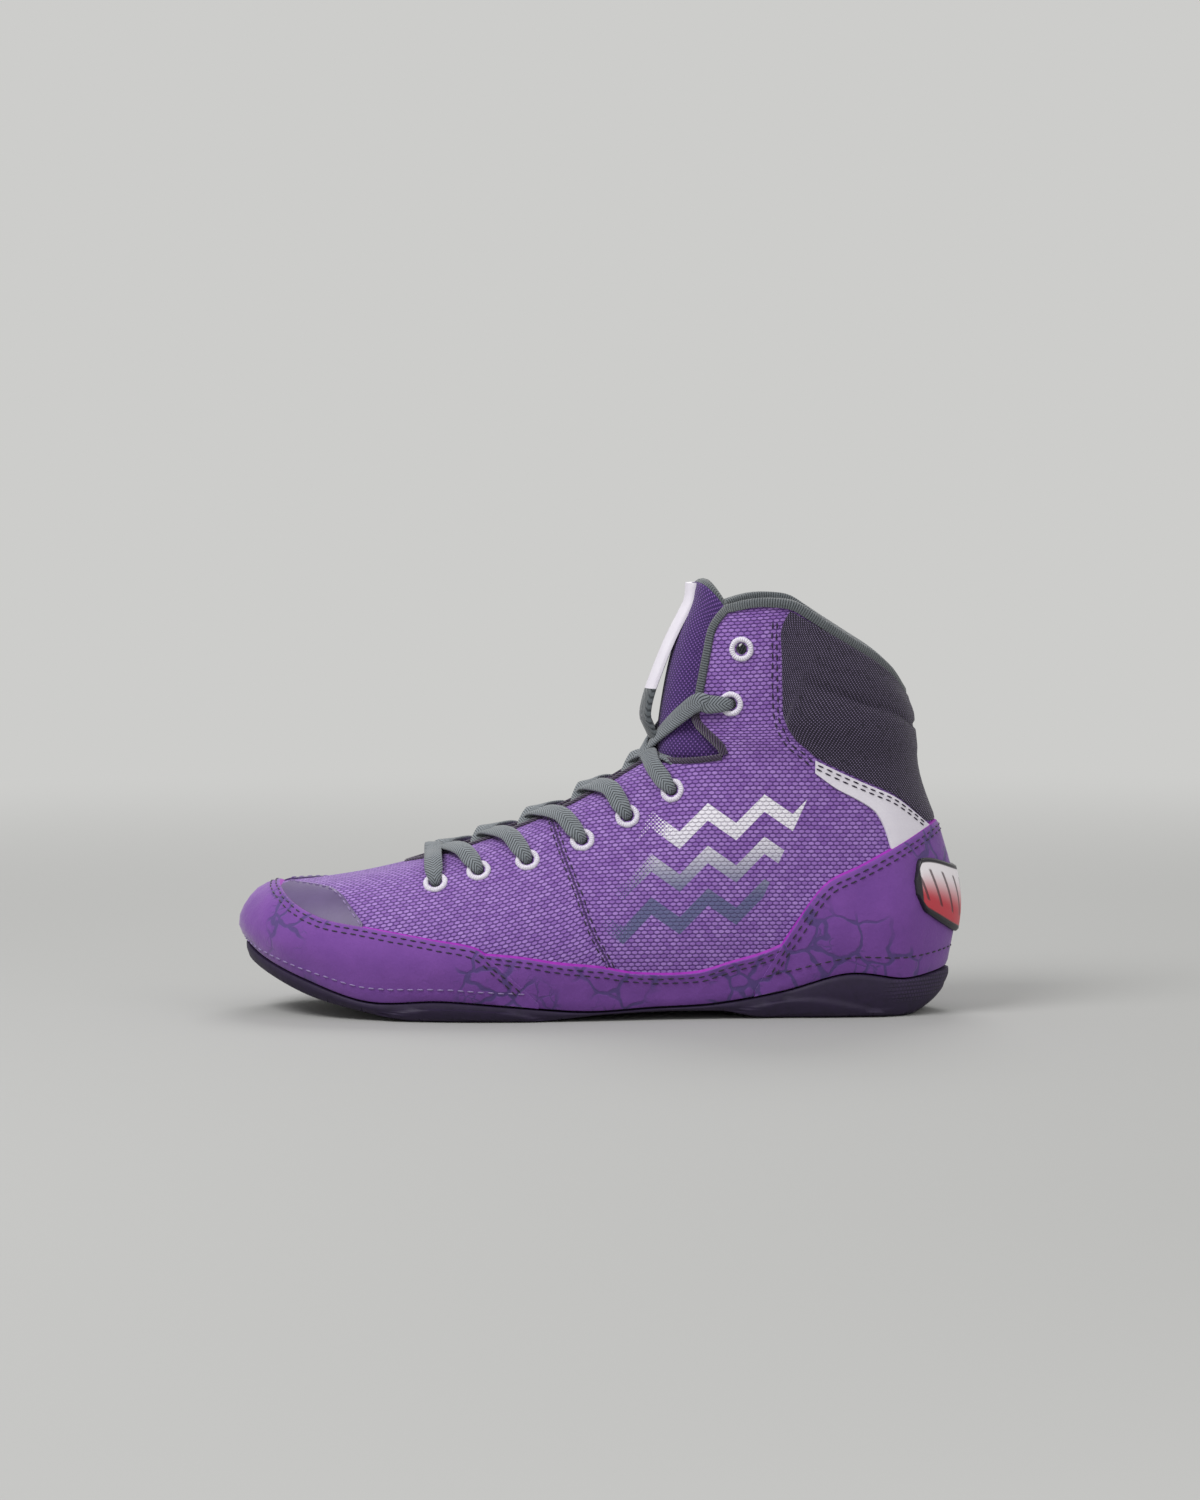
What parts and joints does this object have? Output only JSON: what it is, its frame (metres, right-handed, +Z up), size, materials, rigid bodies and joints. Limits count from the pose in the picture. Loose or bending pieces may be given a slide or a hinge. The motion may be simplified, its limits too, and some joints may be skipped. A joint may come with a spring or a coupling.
{
  "type": "wrestling shoe",
  "caption": "Left high-top wrestling shoe: thin soft upper with lacing flaps, padded collar cuff and tongue, suede rands, flat lace and a low split sole.",
  "frame": {"origin": "on the floor, under the middle of the heel's flat tread, halfway between the heel's sides", "axes": "+X along the foot towards the toe, +Y to the wearer's outer (left) side, +Z up"},
  "size_m": [0.2868, 0.097, 0.1709],
  "materials": {
    "upper_weave": "coarse two-tone purple weave",
    "sole_rubber": "matt moulded rubber",
    "foam": "fabric-faced foam",
    "tongue_mesh": "padded purple mesh",
    "white_film": "matt white film on fabric",
    "suede": "purple synthetic suede",
    "patch_film": "smooth grey-purple synthetic",
    "dark_mesh": "near-black padded mesh",
    "grey_knit": "grey knitted binding",
    "badge_rubber": "satin rubber, white to red",
    "white_thread": "stitched thread ring",
    "lace_weave": "flat woven grey lace"
  },
  "bodies": {
    "root": {"upper": "upper_weave", "sole": "sole_rubber", "insole": "foam", "tongue": "tongue_mesh", "tongue_strip": "white_film", "toe_rand": "suede", "heel_counter": "suede", "side_rand_outer": "suede", "side_rand_inner": "suede", "toe_patch_outer": "patch_film", "toe_patch_inner": "patch_film", "heel_stripe_outer": "white_film", "heel_stripe_inner": "white_film", "collar_cuff": "dark_mesh", "collar_binding": "grey_knit", "throat_piping": "dark_mesh", "heel_badge": "badge_rubber", "eyelet_outer_1": "white_thread", "eyelet_outer_2": "white_thread", "eyelet_outer_3": "white_thread", "eyelet_outer_4": "white_thread", "eyelet_outer_5": "white_thread", "eyelet_outer_6": "white_thread", "eyelet_outer_7": "white_thread", "eyelet_outer_8": "white_thread", "eyelet_inner_1": "white_thread", "eyelet_inner_2": "white_thread", "eyelet_inner_3": "white_thread", "eyelet_inner_4": "white_thread", "eyelet_inner_5": "white_thread", "eyelet_inner_6": "white_thread", "eyelet_inner_7": "white_thread", "eyelet_inner_8": "white_thread", "lace_bar": "lace_weave", "lace_crossing_1": "lace_weave", "lace_crossing_2": "lace_weave", "lace_crossing_3": "lace_weave", "lace_crossing_4": "lace_weave", "lace_crossing_5": "lace_weave", "lace_crossing_6": "lace_weave"}
  },
  "joints": []
}
